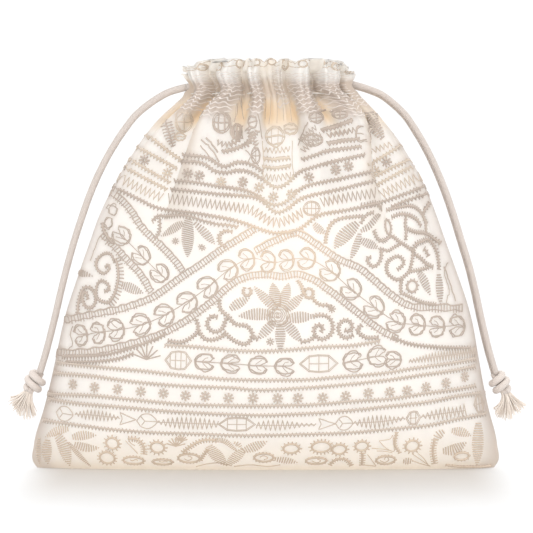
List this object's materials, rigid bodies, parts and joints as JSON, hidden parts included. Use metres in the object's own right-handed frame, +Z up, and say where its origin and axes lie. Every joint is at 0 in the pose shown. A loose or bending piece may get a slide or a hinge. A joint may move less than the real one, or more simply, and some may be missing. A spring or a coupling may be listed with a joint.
{
  "type": "drawstring makeup bag",
  "caption": "Standing drawstring pouch of embroidered cotton with a gathered, ruffled neck and knotted cord ends that hang at both sides.",
  "frame": {"origin": "middle of the flattened base, on the surface that the bag stands on", "axes": "+X to the right along the bag's width, -Y towards the front panel, +Z up to the mouth"},
  "size_m": [0.2603, 0.0772, 0.209],
  "materials": {
    "cloth": "thin plain-woven off-white cotton, embroidered all over",
    "cord": "twisted soft cotton cord",
    "yarn": "frayed cotton yarn",
    "thread": "slightly glossy cream embroidery thread"
  },
  "bodies": {
    "root": {"front_panel": "cloth", "back_panel": "cloth", "front_hem": "cloth", "back_hem": "cloth", "drawcord_left": "cord", "drawcord_right": "cord", "knot_left": "cord", "knot_right": "cord", "tassel_left": "yarn", "tassel_right": "yarn"}
  },
  "joints": []
}
